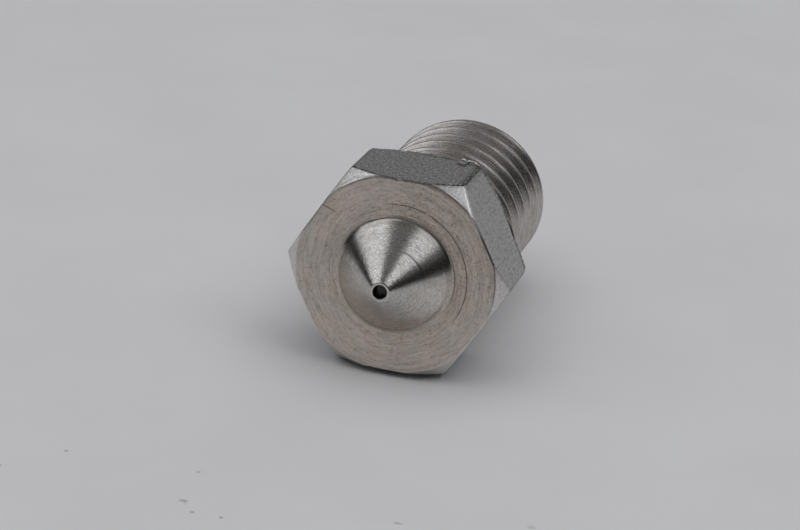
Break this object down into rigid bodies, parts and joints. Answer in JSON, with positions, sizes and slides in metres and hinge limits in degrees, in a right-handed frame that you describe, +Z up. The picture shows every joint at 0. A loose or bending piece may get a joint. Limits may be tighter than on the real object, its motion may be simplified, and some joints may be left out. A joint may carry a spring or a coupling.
{
  "type": "3d printer nozzle",
  "caption": "Screw-in nozzle for a filament printer's hot end: hexagon for a spanner, conical tip with a fine outlet, and a threaded shank with a filament bore.",
  "frame": {"origin": "on the nozzle's axis, in the flat end of the shank that seals against the heat break", "axes": "+Y along the axis towards the shank's end, so the tip points along -Y; +Z up, square to a flat of the hexagon; +X to the right seen from the tip"},
  "size_m": [0.008, 0.013, 0.007],
  "materials": {
    "stainless_steel": "lathe-turned faces with fine concentric tool marks, drawn bar flats left dull"
  },
  "bodies": {
    "root": {"nozzle": "stainless_steel"}
  },
  "joints": []
}
